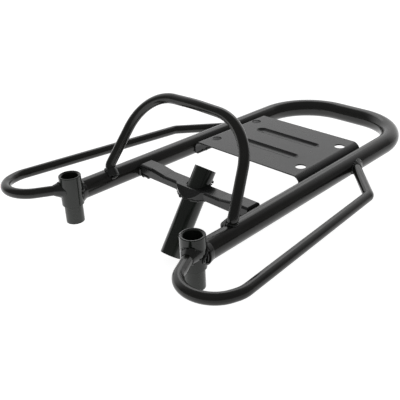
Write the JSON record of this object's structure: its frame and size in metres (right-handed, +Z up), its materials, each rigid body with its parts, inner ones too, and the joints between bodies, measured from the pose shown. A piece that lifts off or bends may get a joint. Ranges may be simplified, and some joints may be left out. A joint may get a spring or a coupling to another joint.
{
  "type": "rear luggage carrier",
  "caption": "Black welded steel tube luggage carrier for a moped: bent frame, front hoop, side loops, deck plate, two upright sleeves and a slanted tube.",
  "frame": {"origin": "midway between the axes of the two upright sleeves, level with the centre lines of the rails", "axes": "+Y runs back along the rails to the rear bar, +Z is up along the sleeves, +X is to the right looking back along +Y"},
  "size_m": [0.348, 0.4513, 0.1695],
  "materials": {
    "tube_paint": "semi-gloss black powder coat",
    "rod_paint": "semi-gloss black powder coat",
    "deck_paint": "satin black powder coat",
    "cross_paint": "satin black powder coat",
    "centre_paint": "semi-gloss black powder coat",
    "collar_paint": "dull dark grey coat",
    "socket_steel": "dull dark grey coat",
    "weld_paint": "semi-gloss black powder coat over weld beads"
  },
  "bodies": {
    "root": {"main_tube": "tube_paint", "hoop": "rod_paint", "left_side_loop": "rod_paint", "right_side_loop": "rod_paint", "deck_plate": "deck_paint", "cross_member": "cross_paint", "centre_tube": "centre_paint", "left_collar": "collar_paint", "right_collar": "collar_paint", "left_socket_tube": "socket_steel", "right_socket_tube": "socket_steel", "left_rail_weld": "weld_paint", "right_rail_weld": "weld_paint", "left_loop_front_weld": "weld_paint", "right_loop_front_weld": "weld_paint", "left_loop_rear_weld": "weld_paint", "right_loop_rear_weld": "weld_paint", "left_hoop_weld": "weld_paint", "right_hoop_weld": "weld_paint", "left_deck_weld": "weld_paint", "right_deck_weld": "weld_paint", "left_cross_weld": "weld_paint", "right_cross_weld": "weld_paint", "centre_tube_weld": "weld_paint"}
  },
  "joints": []
}
